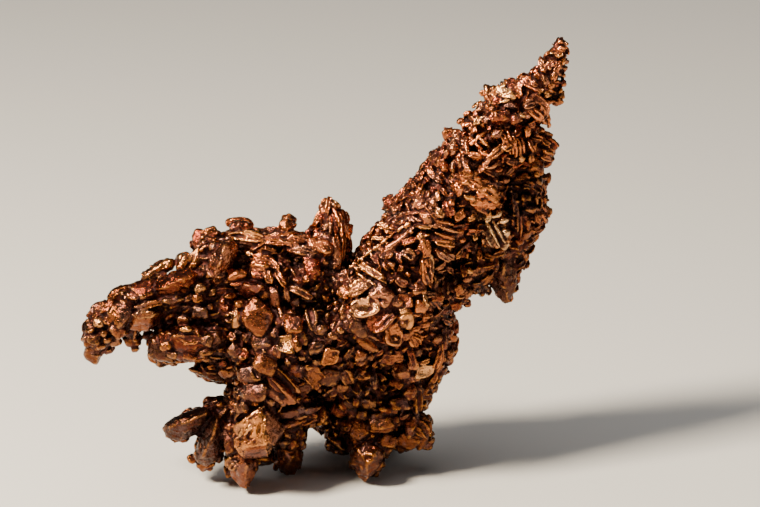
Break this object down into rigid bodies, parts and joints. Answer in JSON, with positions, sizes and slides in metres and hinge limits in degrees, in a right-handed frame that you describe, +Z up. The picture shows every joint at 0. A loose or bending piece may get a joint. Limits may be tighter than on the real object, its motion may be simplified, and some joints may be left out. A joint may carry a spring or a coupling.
{
  "type": "native copper specimen",
  "caption": "Branching mass of native copper crystals with a short left arm, a small peak, spread crystals below and one long arm rising to the right.",
  "frame": {"origin": "on the resting plane, under the centre of the bounding box", "axes": "+X to the long arm's side (viewer's right), +Y away from the viewer, +Z up"},
  "size_m": [0.097, 0.0412, 0.091],
  "materials": {
    "native_copper": "bare native copper, reddish brown with dark tarnish between the crystals and brighter worn faces"
  },
  "bodies": {
    "root": {"native_copper": "native_copper"}
  },
  "joints": []
}
